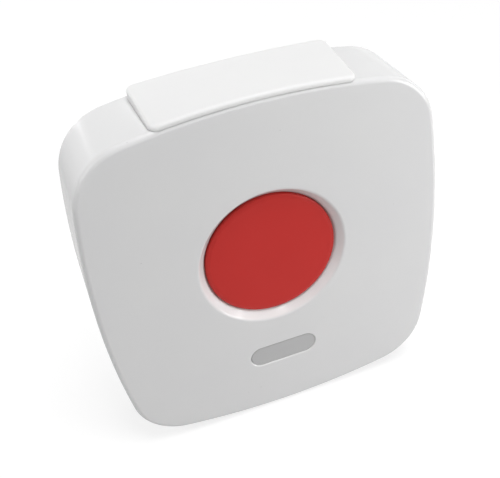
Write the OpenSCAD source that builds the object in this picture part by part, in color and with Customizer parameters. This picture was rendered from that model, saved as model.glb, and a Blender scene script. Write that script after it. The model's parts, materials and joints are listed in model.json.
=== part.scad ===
// Wall mounted panic button: bulging square housing, sunk red push cap and a raised top bar key.
// The sub-parts are drawn lying on the wall side, X right, Y up the wall, Z off the wall,
// and upright() turns them so that +Z is up and the front looks along -Y.
// The origin is the middle of the face that lies on the wall.

/* [Housing] */
// Width across the bulging left and right sides
body_w = 86; // [82:1:92]
// Height across the bulging top and bottom
body_h = 88.5; // [85:0.5:95]
// Depth from the wall to the front face
body_d = 20; // [19:0.5:24]
// Radius of the left and right sides
side_r = 200; // [150:5:300]
// Radius of the top and bottom sides
end_r = 175; // [150:5:300]
// Corner radius seen from the front
corner_r = 14.5; // [12:0.5:18]
// Rounding of the front edge
edge_r = 1.2; // [1:0.1:1.8]
// Inward lean of the side walls from wall side to front
draft = 0.2; // [0.1:0.05:0.5]
// Thickness of the front wall
front_wall = 2.2; // [2:0.1:2.6]
// Thickness of the side walls
side_wall = 2; // [1.8:0.1:2.4]
// Gap that keeps the housing's rim off the wall
rim_gap = 0.3; // [0.2:0.05:0.5]

/* [Push cap] */
// Height of the cap's axis above the middle of the housing
button_y = 4.5; // [3.5:0.1:6]
// Radius of the red cap
cap_r = 16.2; // [14:0.2:17]
// Radial gap between the cap and its sleeve
cap_gap = 0.25; // [0.2:0.05:0.4]
// Radius of the dish at the front face
dish_r = 18.4; // [18:0.1:19.5]
// Depth of the dish
dish_depth = 2.6; // [2.4:0.1:3.4]
// Rounding of the dish where it meets the front face
dish_lip = 1; // [0.4:0.1:1.2]
// Depth of the cap's face below the front face
cap_sunk = 1.4; // [1.2:0.1:1.6]
// Rounding of the cap's rim
cap_round = 1; // [0.6:0.1:1.2]
// How far the cap goes in
cap_travel = 1.5; // [1:0.1:1.6]

/* [Top bar] */
// Length of the bar across the top side, at its rear
bar_w = 45.6; // [40:0.2:47]
// How much nearer the middle each end of the bar lies at its front
bar_taper = 0.7; // [0.1:0.1:1.4]
// How far the middle of the bar stands above the top side, at its rear
bar_proud = 1.8; // [1.7:0.1:2.4]
// How much lower the bar lies at its front
bar_slope = 1.1; // [0.5:0.1:1.1]
// Radius of the bar's top at its rear; at its front it bows like the top side
bar_bow_r = 330; // [250:10:400]
// Plan radius of the bar's corners
bar_corner_r = 1.8; // [1.4:0.1:3]
// Rounding of the bar's upper edges
bar_edge_r = 0.45; // [0.3:0.05:0.6]
// How far the bar goes in
bar_travel = 0.15; // [0.1:0.01:0.25]
// Distance of the bar from the front face
bar_front = 0.2; // [0.1:0.1:0.6]
// Distance of the bar from the wall
bar_rear = 1.2; // [0.6:0.2:2]
// Distance between the bar's two legs
leg_spacing = 28; // [22:1:32]

/* [Badge] */
// Length of the bare badge
badge_w = 17.8; // [14:0.2:20]
// Height of the bare badge
badge_h = 6; // [5:0.2:7]
// Height of the badge's middle below the cap's axis
badge_drop = 30; // [28:0.5:32]
// Depth of the badge's pocket
badge_pocket = 0.6; // [0.5:0.1:0.8]
// How far the badge's face lies below the front face
badge_sunk = 0.15; // [0.1:0.05:0.3]

/* [Wall plate] */
// Thickness of the wall plate
plate_t = 2; // [1.8:0.1:2.4]
// Distance between the two wall screw holes
wall_hole_spacing = 60.3; // [58:0.1:62]
// Diameter of the wall screw holes
wall_hole_d = 4.5; // [4:0.1:5.5]

/* [Circuit] */
// Width of the circuit board
board_w = 48; // [46:1:50]
// Room between the board's upper and lower edges and the rim of the wall plate
board_gap = 2.3; // [1.8:0.1:3]
// Thickness of the circuit board
board_t = 1.6; // [1.4:0.1:1.8]
// Diameter of the coin cell
cell_d = 20; // [16:0.5:23]
// Thickness of the coin cell
cell_t = 3.2; // [1.6:0.1:5]

/* [Hidden] */
$fn = 72;
cut = 1;
white = [0.9, 0.9, 0.9];
soft_white = [0.93, 0.93, 0.92];
red = [0.72, 0.2, 0.2];
badge_grey = [0.67, 0.67, 0.67];
steel = [0.75, 0.76, 0.78];
brass_yellow = [0.8, 0.66, 0.33];
board_green = [0.1, 0.38, 0.24];
dark = [0.12, 0.12, 0.13];
cream = [0.85, 0.82, 0.74];

// Outline of the housing: big arcs on the four sides, tangent small arcs at the corners
side_c = body_w / 2 - side_r;
end_c = body_h / 2 - end_r;
side_reach = side_r - corner_r;
end_reach = end_r - corner_r;
centre_gap = norm([side_c, end_c]);
along = (pow(side_reach, 2) - pow(end_reach, 2) + pow(centre_gap, 2)) / (2 * centre_gap);
across = sqrt(pow(side_reach, 2) - pow(along, 2));
unit = [-side_c, end_c] / centre_gap;
corner = [side_c, 0] + along * unit + across * [-unit.y, unit.x];
corner_from = atan2(corner.y, corner.x - side_c);
corner_to = atan2(corner.y - end_c, corner.x);
arc_steps = 12;
arcs = [
  [[side_c, 0], side_r, -corner_from, corner_from],
  [corner, corner_r, corner_from, corner_to],
  [[0, end_c], end_r, corner_to, 180 - corner_to],
  [[-corner.x, corner.y], corner_r, 180 - corner_to, 180 - corner_from],
  [[-side_c, 0], side_r, 180 - corner_from, 180 + corner_from],
  [-corner, corner_r, 180 + corner_from, 180 + corner_to],
  [[0, -end_c], end_r, 180 + corner_to, 360 - corner_to],
  [[corner.x, -corner.y], corner_r, 360 - corner_to, 360 - corner_from]
];

// Points of the outline, moved inwards by inset
function outline(inset) = [
  for (a = arcs, i = [0 : arc_steps - 1])
    let (angle = a[2] + (a[3] - a[2]) * i / arc_steps)
    a[0] + (a[1] - inset) * [cos(angle), sin(angle)]
];

// Wall plate and the board that stands inside its rim
plate_clear = 0.3;
rim_h = 4;
rim_t = 1.4;
board_h = body_h - 2 * (side_wall + plate_clear + rim_t + board_gap);

// Heights off the wall
inner_front = body_d - front_wall;
edge_steps = 6;
round_steps = 5;
post_rise = 2.9;
board_back = plate_t + post_rise;
board_front = board_back + board_t;
sleeve_wall = 2;
bore_r = cap_r + cap_gap;
flange_t = 1;
flange_room = 1.5;
sleeve_rear = board_front + flange_room + cap_travel + flange_t;
sleeve_r = bore_r + sleeve_wall;
lip_turn = atan2(dish_depth, dish_r - bore_r);
lip_r = dish_r + dish_lip * tan(lip_turn / 2);
cap_face = body_d - cap_sunk;
cap_t = 1.8;
cap_skirt = 1.6;
flange_out = 1.2;
flange_r = bore_r + flange_out;
stop_gap = 0.05;
rib_t = 1.2;
rib_h = 3.5;
rib_len = 12;
rib_angles = [0, 45, 135, 180, 225, 315];
flange_front = sleeve_rear - stop_gap;

// Push switch under the cap
switch_w = 12;
switch_lid = 0.8;
switch_floor = 0.5;
over_travel = 0.2;
plunger_r = 3.4;
shoulder_r = 4.5;
shoulder_t = 0.75;
run_gap = 0.1;
switch_h = switch_floor + over_travel + cap_travel + shoulder_t + stop_gap + switch_lid;
plunger_top = board_front + switch_h + cap_travel + over_travel;
pin_r = 0.45;
pin_pitch = 4.5;
pin_out = 1;
stem_r = 3.5;

// Return spring of the cap
spring_r = 11.8;
spring_wire = 0.45;
spring_turns = 4;
spring_clear = 0.25;
spring_ring_r = spring_r - spring_wire - spring_clear;
spring_ring_h = 0.8;
spring_ring_t = 1;

// Top bar, its legs and its switch
bar_len = body_d - bar_front - bar_rear;
bar_mid = bar_rear + bar_len / 2;
bar_spare = 0.05;
bar_gap = bar_travel + bar_spare;
leg_t = 2;
leg_w = 8;
leg_clear = 0.3;
catch_out = 0.8;
catch_h = 1.2;
catch_x = leg_spacing / 2 + leg_t / 2 + catch_out;
top_inner = end_c + sqrt(pow(end_r - side_wall - draft, 2) - pow(catch_x, 2));
catch_top = top_inner - stop_gap;
key_switch_w = 6;
key_switch_l = 3.5;
key_plunger_r = 1.75;
key_shoulder_r = 2.4;
key_z = board_front + key_switch_w / 2;
key_in = 1.2;
key_top = board_h / 2 - key_in;
key_lid = 0.6;
key_plunger_out = 2;
key_plunger_top = key_top + key_plunger_out;
pusher_r = 1.8;

// Snap beads and board fixings
bead_len = 12;
bead_out = 0.6;
bead_z = 4.4;
bead_h = 1;
post_r = 3;
post_in = 3.5;
post_x = board_w / 2 - post_in;
post_y = board_h / 2 - post_in;
pilot_r = 1.05;
screw_r = 1.25;
screw_head_r = 2.3;
screw_head_h = 1.6;
screw_len = 4.2;
slot_w = 0.6;

// Battery, below the cap's stop flange
holder_gap = 0.2;
holder_wall = 0.9;
holder_floor = 0.6;
holder_h = 2.5;
holder_clear = 1;
contact_t = 0.3;
strip_w = 6;
strip_clear = 0.4;
holder_r = cell_d / 2 + holder_gap + holder_wall;
cell_y = button_y - flange_r - holder_clear - holder_r;
cell_back = board_front + holder_floor + contact_t;

// Circuit parts along the board's edges
edge_in = 1.5;
part_gap = 1.4;
radio_w = 10;
radio_t = 0.8;
radio_x = -12;
radio_y = board_h / 2 - edge_in - radio_w / 2;
shield_w = 8.8;
shield_h = 2;
crystal_l = 8;
crystal_w = 3.4;
crystal_h = 1.6;
chip_w = 7;
chip_h = 0.9;
chip_x = 11;
crystal_y = board_h / 2 - edge_in - crystal_w / 2;
chip_y = crystal_y - crystal_w / 2 - part_gap - chip_w / 2;
small_l = 1.6;
small_w = 0.8;
small_h = 0.5;
small_count = 5;
small_y = chip_y - chip_w / 2 - part_gap - small_w / 2;
capacitor_d = 6.3;
capacitor_h = 7;
capacitor_x = board_w / 2 - edge_in - capacitor_d / 2;
capacitor_y = cell_y + strip_w / 2 + part_gap;
wire_r = 0.4;
wire_rise = 2.5;
wire_in = 12;

// Turns a lying sub-part so that it stands on the wall
module upright() {
  rotate([90, 0, 0]) children();
}

// Solid through a stack of outlines, each given as inset and height
module loft(rings) {
  count = len(outline(0));
  last = len(rings) - 1;
  points = [for (r = rings, p = outline(r[0])) [p.x, p.y, r[1]]];
  bottom = [[for (i = [0 : count - 1]) i]];
  top = [[for (i = [count - 1 : -1 : 0]) last * count + i]];
  sides = [
    for (j = [0 : last - 1], i = [0 : count - 1])
      let (n = (i + 1) % count)
      [j * count + i, (j + 1) * count + i, (j + 1) * count + n, j * count + n]
  ];
  polyhedron(points, concat(bottom, sides, top));
}

// Outer form of the housing, grown by grow on every side
module housing_form(grow = 0) {
  foot = rim_gap - grow;
  shoulder = body_d - edge_r;
  round = edge_r + grow;
  loft(concat(
    [[-grow, foot]],
    [for (i = [0 : edge_steps])
      let (a = 90 * i / edge_steps)
      [draft + edge_r - round * cos(a), shoulder + round * sin(a)]]
  ));
}

// Room inside the housing
module housing_room() {
  lean = draft / (inner_front - rim_gap);
  bevel = 1;
  loft([
    [side_wall - lean * cut, rim_gap - cut],
    [side_wall + draft, inner_front - bevel],
    [side_wall + draft + bevel, inner_front]
  ]);
}

// Round-ended bar in plan
module pill(length, height) {
  for (s = [-1, 1]) translate([s * (length - height) / 2, 0]) circle(height / 2);
  square([length - height, height], center = true);
}

// Rectangle with rounded corners
module round_rect(w, h, r) {
  square([w - 2 * r, h], center = true);
  square([w, h - 2 * r], center = true);
  for (x = [-1, 1], y = [-1, 1]) translate([x * (w / 2 - r), y * (h / 2 - r)]) circle(r);
}

// One copy at each mirrored corner
module at_corners(x, y) {
  for (sx = [-1, 1], sy = [-1, 1]) translate([sx * x, sy * y, 0]) children();
}

// Snap beads that hold the housing on the wall plate, grown by grow for their grooves
module snap_beads(grow) {
  reach = body_w / 2 - side_wall - plate_clear - rim_t / 2;
  for (s = [-1, 1])
    translate([s * (reach + (rim_t / 2 + bead_out) / 2), 0, bead_z])
      cube([rim_t / 2 + bead_out + 2 * grow, bead_len + 2 * grow, bead_h + 2 * grow], center = true);
}

// Glossy housing with dish, guide sleeve, badge pocket and openings for the bar
module front_cover() {
  color(white) upright() difference() {
    union() {
      difference() {
        housing_form();
        housing_room();
      }
      translate([0, button_y, sleeve_rear])
        cylinder(r = sleeve_r, h = inner_front - sleeve_rear + front_wall / 2);
      for (a = rib_angles) translate([0, button_y, inner_front - rib_h]) rotate(a)
        translate([sleeve_r - rib_t, -rib_t / 2, 0]) cube([rib_len, rib_t, rib_h + front_wall / 2]);
    }
    translate([0, button_y, 0]) rotate_extrude() polygon(concat(
      [[0, sleeve_rear - cut], [bore_r, sleeve_rear - cut], [bore_r, body_d - dish_depth]],
      [for (i = [round_steps : -1 : 0])
        let (a = 90 + lip_turn * i / round_steps)
        [lip_r + dish_lip * cos(a), body_d - dish_lip + dish_lip * sin(a)]],
      [[lip_r, body_d + cut], [0, body_d + cut]]
    ));
    translate([0, button_y - badge_drop, body_d - badge_pocket])
      linear_extrude(badge_pocket + cut) pill(badge_w, badge_h);
    for (s = [-1, 1])
      translate([s * (leg_spacing - catch_out) / 2, body_h / 2, bar_mid])
        cube([leg_t + catch_out + 2 * leg_clear, 4 * side_wall, leg_w + 2 * leg_clear], center = true);
    translate([0, body_h / 2 - 2 * side_wall, key_z])
      rotate([-90, 0, 0]) cylinder(r = pusher_r + leg_clear, h = 4 * side_wall);
    snap_beads(run_gap);
  }
}

// Bare grey pill let into the front face
module badge_plate() {
  fit = 0.05;
  color(badge_grey) upright()
    translate([0, button_y - badge_drop, body_d - badge_pocket])
      linear_extrude(badge_pocket - badge_sunk) pill(badge_w - 2 * fit, badge_h - 2 * fit);
}

// Red cap with rounded rim, skirt, stop flange, stem and spring ring
module panic_button() {
  under = cap_face - cap_t;
  skirt_in = cap_r - cap_skirt;
  stem_end = plunger_top + stop_gap;
  color(red) upright() translate([0, button_y, 0]) rotate_extrude() polygon(concat(
    [
      [0, stem_end],
      [stem_r, stem_end],
      [stem_r, under],
      [spring_ring_r - spring_ring_t, under],
      [spring_ring_r - spring_ring_t, under - spring_ring_h],
      [spring_ring_r, under - spring_ring_h],
      [spring_ring_r, under],
      [skirt_in, under],
      [skirt_in, flange_front - flange_t],
      [flange_r, flange_front - flange_t],
      [flange_r, flange_front],
      [cap_r, flange_front]
    ],
    [for (i = [0 : round_steps])
      let (a = 90 * i / round_steps)
      [cap_r - cap_round * (1 - cos(a)), cap_face - cap_round * (1 - sin(a))]],
    [[0, cap_face]]
  ));
}

// Coil that pushes the cap back, one round wire from the board to the cap's underside
module button_spring() {
  facets = 6;
  steps = 16;
  low = board_front + stop_gap + spring_wire;
  high = cap_face - cap_t - stop_gap - spring_wire;
  rings = spring_turns * steps;
  points = [
    for (k = [0 : rings], i = [0 : facets - 1])
      let (turn = 360 * k / steps)
      let (r = spring_r + spring_wire * cos(360 * i / facets))
      let (z = low + (high - low) * k / rings + spring_wire * sin(360 * i / facets))
      [r * cos(turn), r * sin(turn), z]
  ];
  start = [[for (i = [0 : facets - 1]) i]];
  end = [[for (i = [facets - 1 : -1 : 0]) rings * facets + i]];
  skin = [
    for (k = [0 : rings - 1], i = [0 : facets - 1])
      let (n = (i + 1) % facets)
      let (a = k * facets + i)
      let (b = k * facets + n)
      for (t = [[a, a + facets, b + facets], [a, b + facets, b]]) t
  ];
  color(steel) upright() translate([0, button_y, 0])
    polyhedron(points, concat(start, skin, end));
}

// Square push switch on the board, hollow for its plunger
module button_switch() {
  lid_under = board_front + switch_h - switch_lid;
  color(dark) upright() translate([0, button_y, 0]) {
    difference() {
      translate([0, 0, board_front]) linear_extrude(switch_h) round_rect(switch_w, switch_w, 1);
      translate([0, 0, board_front + switch_floor])
        cylinder(r = shoulder_r + run_gap, h = lid_under - board_front - switch_floor);
      translate([0, 0, lid_under - cut]) cylinder(r = plunger_r + run_gap, h = switch_lid + 2 * cut);
    }
    at_corners(pin_pitch, pin_pitch)
      translate([0, 0, board_back - pin_out]) cylinder(r = pin_r, h = board_t + pin_out, $fn = 24);
  }
}

// Plunger of the push switch, kept in by its shoulder
module switch_plunger() {
  shoulder_top = board_front + switch_h - switch_lid - stop_gap;
  color(cream) upright() translate([0, button_y, 0]) {
    translate([0, 0, shoulder_top - shoulder_t]) cylinder(r = shoulder_r, h = shoulder_t);
    translate([0, 0, shoulder_top]) cylinder(r = plunger_r, h = plunger_top - shoulder_top);
  }
}

// Body of the top bar: rounded plan that narrows to the front, rounded upper edges, bowed top that falls
// to the front
module bar_form() {
  corner_steps = 6;
  bow_steps = 10;
  half_x = bar_w / 2 - bar_corner_r;
  half_z = bar_len / 2 - bar_corner_r;
  rings = concat(
    [[0, 2 * bar_proud]],
    [for (i = [0 : round_steps])
      let (a = 90 * i / round_steps)
      [bar_edge_r * (1 - cos(a)), bar_edge_r * (1 - sin(a))]]
  );
  front_edge = concat(
    [for (i = [0 : corner_steps]) [half_x, 90 * i / corner_steps]],
    [for (i = [1 : bow_steps - 1]) [half_x * (1 - 2 * i / bow_steps), 90]],
    [for (i = [0 : corner_steps]) [-half_x, 90 + 90 * i / corner_steps]]
  );
  half = len(front_edge);
  count = 2 * half;
  last = len(rings) - 1;
  points = [
    for (r = rings, k = [0 : count - 1])
      let (s = k < half ? 1 : -1)
      let (f = front_edge[k < half ? k : count - 1 - k])
      let (reach = bar_corner_r - r[0])
      let (z = s * (half_z + reach * sin(f[1])))
      let (share = z / bar_len + 0.5)
      let (x = (1 - 2 * bar_taper / bar_w * share) * (f[0] + reach * cos(f[1])))
      let (bow = bar_bow_r + (end_r - bar_bow_r) * share)
      let (crest = body_h / 2 + bar_proud - bar_slope * share)
      [x, crest - r[1] - bow + sqrt(pow(bow, 2) - pow(x, 2)), bar_mid + z]
  ];
  under = [
    for (k = [0 : half - 2])
      let (m = count - 1 - k)
      for (t = [[m, m - 1, k + 1], [m, k + 1, k]]) t
  ];
  crown = [for (t = under) [for (i = [2 : -1 : 0]) last * count + t[i]]];
  sides = [
    for (j = [0 : last - 1], k = [0 : count - 1])
      let (n = (k + 1) % count)
      let (a = j * count + k)
      let (b = j * count + n)
      for (t = [[a, b, b + count], [a, b + count, a + count]]) t
  ];
  polyhedron(points, concat(under, sides, crown));
}

// White bar key with two catch legs and a pusher
module top_bar() {
  color(soft_white) upright() {
    difference() {
      bar_form();
      housing_form(bar_gap);
    }
    intersection() {
      bar_legs();
      translate([0, end_c, 0]) cylinder(r = end_r + bar_proud - bar_slope, h = body_d, $fn = 720);
    }
  }
}

// Legs through the top wall with catches under it, and the pusher for the switch
module bar_legs() {
  for (s = [-1, 1]) {
    translate([s * leg_spacing / 2 - leg_t / 2, catch_top - catch_h, bar_mid - leg_w / 2])
      cube([leg_t, body_h / 2 + bar_proud - catch_top + catch_h, leg_w]);
    translate([s * (leg_spacing / 2 + (leg_t + catch_out) / 2) - catch_out / 2, catch_top - catch_h,
               bar_mid - leg_w / 2])
      cube([catch_out, catch_h, leg_w]);
  }
  translate([0, key_plunger_top + stop_gap, key_z]) rotate([-90, 0, 0])
    cylinder(r = pusher_r, h = body_h / 2 + bar_proud - key_plunger_top);
}

// Right-angle switch at the board's upper edge
module bar_switch() {
  color(dark) upright() difference() {
    translate([-key_switch_w / 2, key_top - key_switch_l, board_front])
      cube([key_switch_w, key_switch_l, key_switch_w]);
    translate([0, key_top - key_switch_l + switch_floor, key_z]) rotate([-90, 0, 0])
      cylinder(r = key_shoulder_r + run_gap, h = key_switch_l - switch_floor - key_lid);
    translate([0, key_top - key_lid - cut, key_z]) rotate([-90, 0, 0])
      cylinder(r = key_plunger_r + run_gap, h = key_lid + 2 * cut);
  }
}

// Plunger of the right-angle switch
module bar_plunger() {
  shoulder_top = key_top - key_lid - stop_gap;
  color(cream) upright() translate([0, shoulder_top - shoulder_t, key_z]) rotate([-90, 0, 0]) {
    cylinder(r = key_shoulder_r, h = shoulder_t);
    cylinder(r = key_plunger_r, h = key_plunger_top - shoulder_top + shoulder_t);
  }
}

// Wall plate with rim, snap beads, board posts and two wall screw holes
module rear_cover() {
  outer = side_wall + plate_clear;
  color(white) upright() difference() {
    union() {
      linear_extrude(plate_t) polygon(outline(outer));
      linear_extrude(plate_t + rim_h) difference() {
        polygon(outline(outer));
        polygon(outline(outer + rim_t));
      }
      snap_beads(0);
      at_corners(post_x, post_y) cylinder(r = post_r, h = board_back);
    }
    at_corners(post_x, post_y) translate([0, 0, plate_t / 2]) cylinder(r = pilot_r, h = board_back);
    for (s = [-1, 1]) translate([s * wall_hole_spacing / 2, 0, -cut])
      cylinder(d = wall_hole_d, h = plate_t + 2 * cut);
  }
}

// Circuit board with screw and pin holes
module circuit_board() {
  color(board_green) upright() translate([0, 0, board_back]) linear_extrude(board_t) difference() {
    round_rect(board_w, board_h, 2);
    at_corners(post_x, post_y) circle(screw_r + run_gap);
    translate([0, button_y]) at_corners(pin_pitch, pin_pitch) circle(pin_r + run_gap, $fn = 24);
  }
}

// Four pan head screws of the board
module board_screws() {
  color(steel) upright() at_corners(post_x, post_y) {
    translate([0, 0, board_front - screw_len]) cylinder(r = pilot_r, h = screw_len - board_t);
    translate([0, 0, board_back]) cylinder(r = screw_r, h = board_t);
    difference() {
      translate([0, 0, board_front]) cylinder(r = screw_head_r, h = screw_head_h);
      for (a = [0, 90]) rotate(a) translate([0, 0, board_front + screw_head_h])
        cube([2 * screw_r, slot_w, screw_head_h], center = true);
    }
  }
}

// Round cup for the coin cell
module battery_holder() {
  notch = 9;
  color(dark) upright() translate([0, cell_y, board_front]) difference() {
    cylinder(r = holder_r, h = holder_h);
    translate([0, 0, holder_floor]) cylinder(r = holder_r - holder_wall, h = holder_h);
    translate([0, -holder_r, holder_floor + holder_h / 2])
      cube([notch, holder_r, holder_h], center = true);
  }
}

// Coin cell: can and stepped negative face
module coin_cell() {
  step = 1.6;
  color(steel) upright() translate([0, cell_y, cell_back]) {
    cylinder(r = cell_d / 2 - step, h = cell_t / 4);
    translate([0, 0, cell_t / 4]) cylinder(r = cell_d / 2, h = cell_t * 3 / 4);
  }
}

// Spring strip over the cell, soldered to the board at both ends
module positive_contact() {
  reach = holder_r + strip_clear;
  top = cell_back + cell_t + stop_gap;
  color(brass_yellow) upright() translate([0, cell_y, 0]) {
    translate([-reach - contact_t, -strip_w / 2, top]) cube([2 * (reach + contact_t), strip_w, contact_t]);
    for (s = [-1, 1]) translate([s * (reach + contact_t / 2), 0, (board_front + top) / 2])
      cube([contact_t, strip_w, top - board_front], center = true);
  }
}

// Disc under the cell
module negative_contact() {
  color(brass_yellow) upright() translate([0, cell_y, board_front + holder_floor])
    cylinder(r = cell_d / 4, h = contact_t);
}

// Radio board
module radio_module() {
  color(board_green) upright() translate([radio_x, radio_y, board_front])
    linear_extrude(radio_t) round_rect(radio_w, radio_w, 0.5);
}

// Shield can on the radio board
module radio_shield() {
  color(steel) upright() translate([radio_x, radio_y, board_front + radio_t])
    linear_extrude(shield_h) round_rect(shield_w, shield_w, 0.8);
}

// Square control chip
module control_chip() {
  color(dark) upright() translate([chip_x, chip_y, board_front])
    linear_extrude(chip_h) round_rect(chip_w, chip_w, 0.2);
}

// Clock crystal can
module crystal() {
  color(steel) upright() translate([chip_x, crystal_y, board_front])
    linear_extrude(crystal_h) pill(crystal_l, crystal_w);
}

// Wire aerial along the board's edge, bent down into the board at both ends
module antenna_wire() {
  high = board_front + wire_rise;
  reach = board_h / 2 - wire_in;
  color(brass_yellow) upright() translate([edge_in - board_w / 2, 0, 0]) {
    translate([0, -reach, high]) rotate([-90, 0, 0]) cylinder(r = wire_r, h = 2 * reach, $fn = 24);
    for (s = [-1, 1]) translate([0, s * reach, 0]) {
      translate([0, 0, board_front]) cylinder(r = wire_r, h = high - board_front, $fn = 24);
      translate([0, 0, high]) sphere(wire_r, $fn = 24);
    }
  }
}

// Round buffer capacitor
module capacitor() {
  color(dark) upright() translate([capacitor_x, capacitor_y, board_front])
    cylinder(d = capacitor_d, h = capacitor_h);
}

// Row of small chip parts
module chip_parts() {
  pitch = small_l + part_gap / 2;
  first_x = chip_x - (small_count - 1) / 2 * pitch;
  color(cream) upright() for (i = [0 : small_count - 1])
    translate([first_x + i * pitch, small_y, board_front + small_h / 2])
      cube([small_l, small_w, small_h], center = true);
}

front_cover();
badge_plate();
panic_button();
button_spring();
button_switch();
switch_plunger();
top_bar();
bar_switch();
bar_plunger();
rear_cover();
circuit_board();
board_screws();
battery_holder();
coin_cell();
positive_contact();
negative_contact();
radio_module();
radio_shield();
control_chip();
crystal();
antenna_wire();
capacitor();
chip_parts();
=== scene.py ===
import json
import math

import bmesh
import bpy
from mathutils import Matrix, Vector

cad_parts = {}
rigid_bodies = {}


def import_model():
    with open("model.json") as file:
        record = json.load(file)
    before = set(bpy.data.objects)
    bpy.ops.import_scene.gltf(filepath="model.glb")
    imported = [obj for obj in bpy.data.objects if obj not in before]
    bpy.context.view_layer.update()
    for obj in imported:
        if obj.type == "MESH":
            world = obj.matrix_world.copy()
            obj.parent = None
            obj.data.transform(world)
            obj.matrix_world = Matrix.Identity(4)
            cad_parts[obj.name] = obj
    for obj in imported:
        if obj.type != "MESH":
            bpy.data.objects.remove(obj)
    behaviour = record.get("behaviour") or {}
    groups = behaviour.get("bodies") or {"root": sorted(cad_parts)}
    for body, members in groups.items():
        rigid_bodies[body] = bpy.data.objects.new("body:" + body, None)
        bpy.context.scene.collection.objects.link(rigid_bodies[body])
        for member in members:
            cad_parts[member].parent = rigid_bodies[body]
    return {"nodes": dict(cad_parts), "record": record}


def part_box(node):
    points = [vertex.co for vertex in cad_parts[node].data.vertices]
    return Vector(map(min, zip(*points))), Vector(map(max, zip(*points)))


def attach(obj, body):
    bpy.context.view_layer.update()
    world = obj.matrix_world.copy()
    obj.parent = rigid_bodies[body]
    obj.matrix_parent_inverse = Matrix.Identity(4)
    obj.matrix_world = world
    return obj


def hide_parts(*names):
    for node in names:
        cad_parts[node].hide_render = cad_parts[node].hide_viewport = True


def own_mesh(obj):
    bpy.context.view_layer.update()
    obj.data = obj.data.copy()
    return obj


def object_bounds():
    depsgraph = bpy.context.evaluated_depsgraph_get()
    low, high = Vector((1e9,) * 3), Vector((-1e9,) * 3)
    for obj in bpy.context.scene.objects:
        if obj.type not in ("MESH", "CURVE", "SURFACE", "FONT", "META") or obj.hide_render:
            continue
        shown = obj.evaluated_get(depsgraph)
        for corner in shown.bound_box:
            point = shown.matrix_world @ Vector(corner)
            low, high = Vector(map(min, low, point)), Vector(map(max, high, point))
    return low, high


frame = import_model()
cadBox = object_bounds()
scene = bpy.context.scene
scene.view_settings.view_transform = "Standard"
mm = 0.001
tolerance = {"weld": 0.002, "level": 0.004}   # mm, points this close count as one place
sharpAngle = math.radians(35)
noiseBand = (0.3, 0.7)   # where most of a noise's values lie
print("frame loaded,", len(frame["nodes"]), "nodes")


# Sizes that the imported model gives
coverLow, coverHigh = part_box("front_cover")
capLow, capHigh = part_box("panic_button")
barLow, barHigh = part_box("top_bar")
badgeLow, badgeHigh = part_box("badge_plate")
depth = -coverLow.y
rimGap = -coverHigh.y
buttonHeight = (capLow.z + capHigh.z) / 2
badgeHeight = (badgeLow.z + badgeHigh.z) / 2


# Camera
viewpoint = {
    "eye": (-39.52, -147.42, 105.86),      # mm
    "ahead": (0.2025, 0.7357, -0.6463),
    "up": (0.294, 0.5839, 0.7568),         # the view is rolled
    "lens": 51.65,
    "shift": (-0.021, 0.119),
    "sensor": 36,
    "nearest": 1,
}


def placeCamera():
    camera = bpy.data.objects.new("camera", bpy.data.cameras.new("camera"))
    scene.collection.objects.link(camera)
    ahead = Vector(viewpoint["ahead"]).normalized()
    right = ahead.cross(Vector(viewpoint["up"])).normalized()
    turn = Matrix((right, right.cross(ahead), -ahead)).transposed()
    camera.matrix_world = Matrix.Translation(Vector(viewpoint["eye"]) * mm) @ turn.to_4x4()
    camera.data.sensor_width = viewpoint["sensor"]
    camera.data.lens = viewpoint["lens"]
    camera.data.shift_x, camera.data.shift_y = viewpoint["shift"]
    camera.data.clip_start = viewpoint["nearest"] * mm
    scene.camera = camera


placeCamera()
print("camera placed")


# Small helpers for node trees
def feed(tree, socket, value):
    if isinstance(value, bpy.types.NodeSocket):
        tree.links.new(value, socket)
    else:
        socket.default_value = value


def addNode(tree, kind, values=None, **settings):
    node = tree.nodes.new(kind)
    for name, value in settings.items():
        setattr(node, name, value)
    for name, value in (values or {}).items():
        feed(tree, node.inputs[name], value)
    return node


def calc(tree, operation, a, b=0.0):
    return addNode(tree, "ShaderNodeMath", {0: a, 1: b}, operation=operation).outputs[0]


def spread(tree, value, low, high, toLow=0.0, toHigh=1.0):  # clamped map range
    return addNode(tree, "ShaderNodeMapRange", {
        "Value": value, "From Min": low, "From Max": high, "To Min": toLow, "To Max": toHigh,
    }).outputs[0]


def blendColours(tree, share, first, second):
    node = addNode(tree, "ShaderNodeMix", {"Factor": share}, data_type="RGBA")
    feed(tree, node.inputs[6], first)
    feed(tree, node.inputs[7], second)
    return node.outputs[2]


# Shared shader groups
def newGroup(name, inputs, outputs):
    group = bpy.data.node_groups.new(name, "ShaderNodeTree")
    for label, value in inputs.items():
        group.interface.new_socket(label, in_out="INPUT", socket_type="NodeSocketFloat").default_value = value
    for label in outputs:
        group.interface.new_socket(label, in_out="OUTPUT", socket_type="NodeSocketFloat")
    return group, group.nodes.new("NodeGroupInput").outputs, group.nodes.new("NodeGroupOutput").inputs


def noise(tree, place, scale, detail=2.0, roughness=0.5):
    return addNode(tree, "ShaderNodeTexNoise", {
        "Vector": place, "Scale": scale, "Detail": detail, "Roughness": roughness,
    }).outputs["Fac"]


def makeMouldGrain():  # fine skin of moulded plastic and slow drift over the piece
    group, given, result = newGroup("mouldGrain", {"Grain Scale": 3000.0, "Drift Scale": 45.0},
                                    ("Grain", "Drift"))
    place = addNode(group, "ShaderNodeTexCoord").outputs["Object"]
    feed(group, result["Grain"], noise(group, place, given["Grain Scale"], 3.0, 0.6))
    feed(group, result["Drift"], noise(group, place, given["Drift Scale"]))
    return group


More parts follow.
